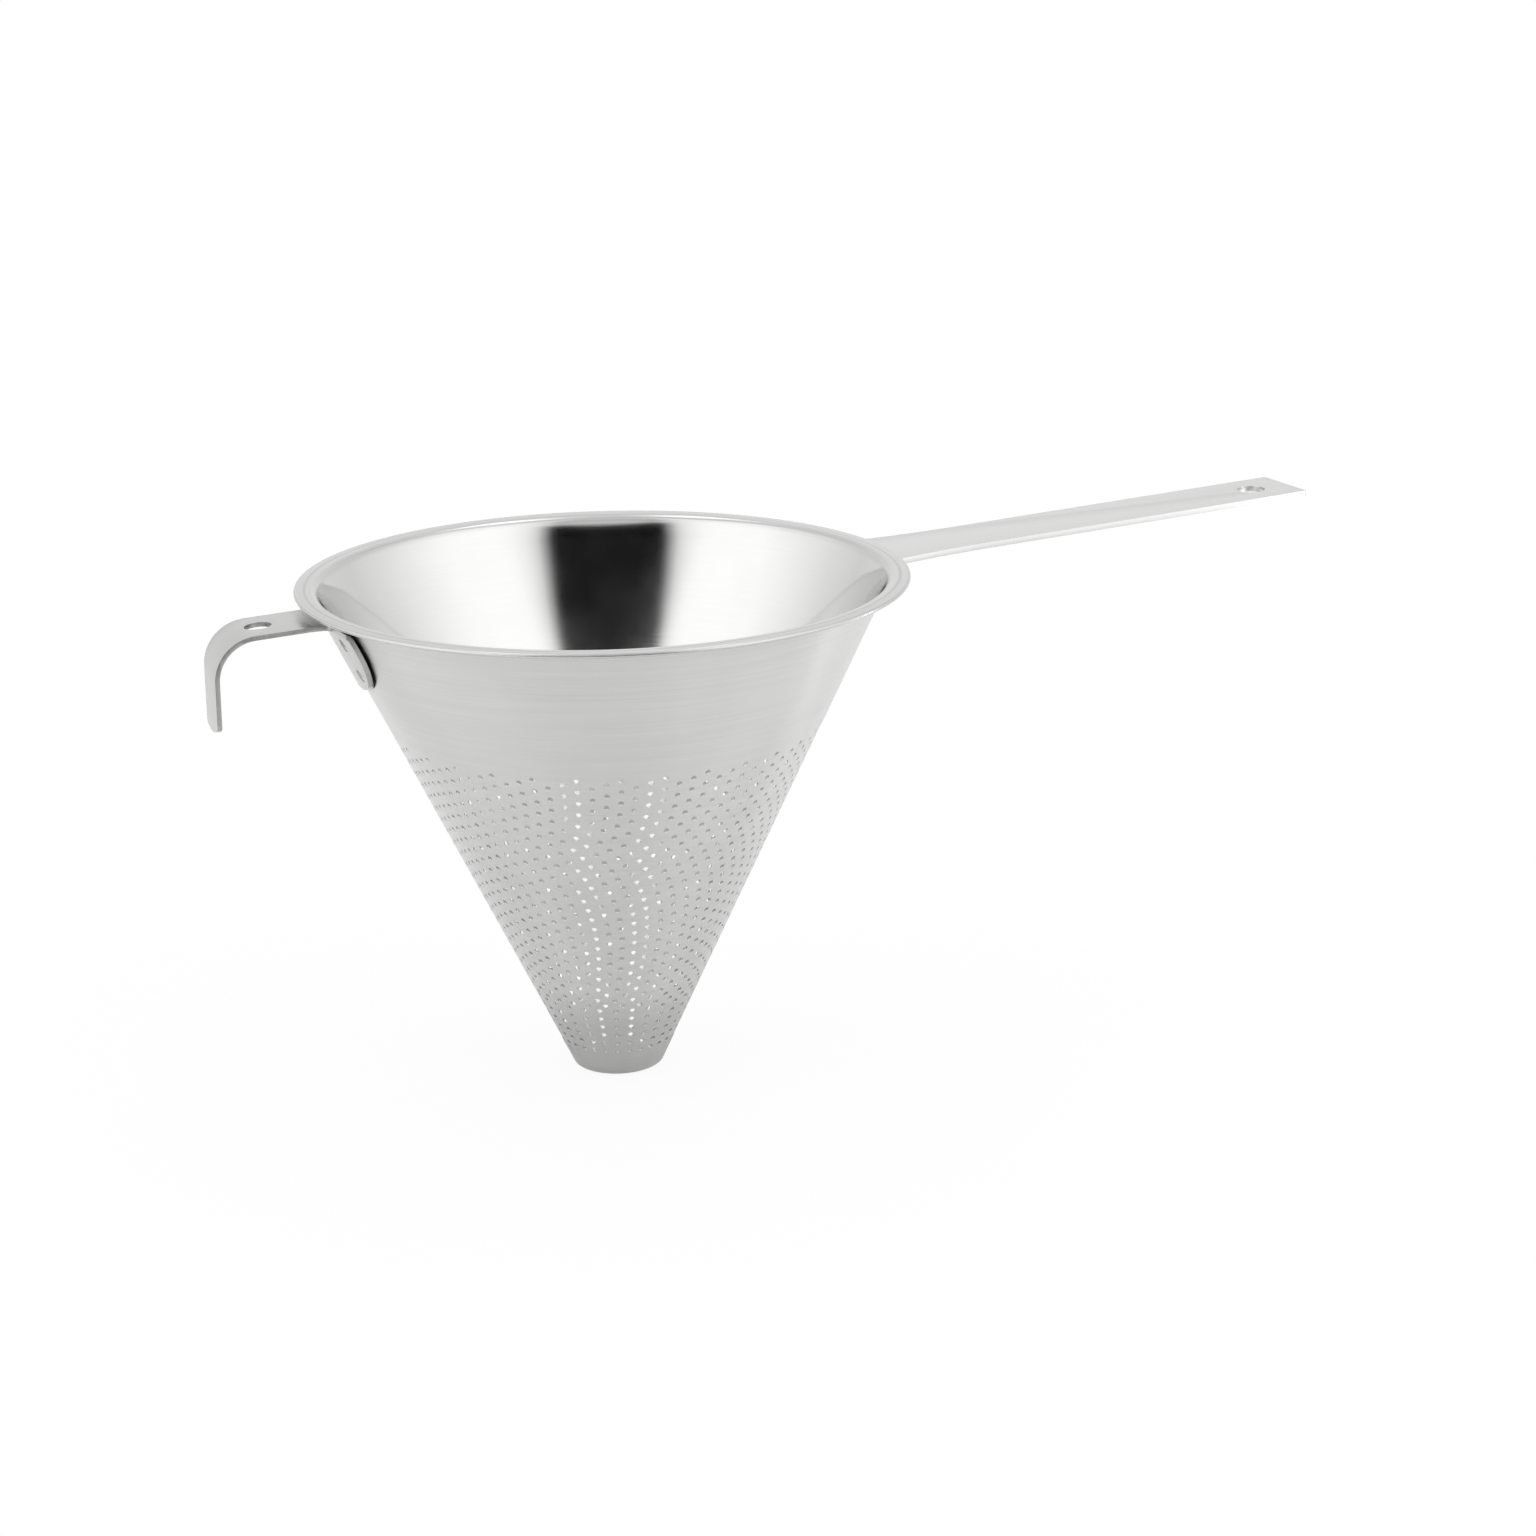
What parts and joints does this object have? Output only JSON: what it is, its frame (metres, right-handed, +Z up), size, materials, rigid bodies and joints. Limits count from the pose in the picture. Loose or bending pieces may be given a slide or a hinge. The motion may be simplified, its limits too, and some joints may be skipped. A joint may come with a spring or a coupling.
{
  "type": "chinois strainer",
  "caption": "Chinois: perforated steel cone with a flat folded rim, a flat strap handle with a hanging hole, and a bent rest hook opposite, all spot welded.",
  "frame": {"origin": "middle of the flat underside of the cone's tip", "axes": "+Z up the cone's axis through the mouth, +X out along the handle"},
  "size_m": [0.3914, 0.2, 0.1756],
  "materials": {
    "cone_steel": "satin, turned round the cone",
    "handle_steel": "fine brushed along the strap",
    "hook_steel": "fine brushed",
    "weld_steel": "dull fused metal"
  },
  "bodies": {
    "root": {"strainer_cone": "cone_steel", "handle_strap": "handle_steel", "rest_hook": "hook_steel", "handle_spot_welds": "weld_steel", "hook_spot_welds": "weld_steel"}
  },
  "joints": []
}
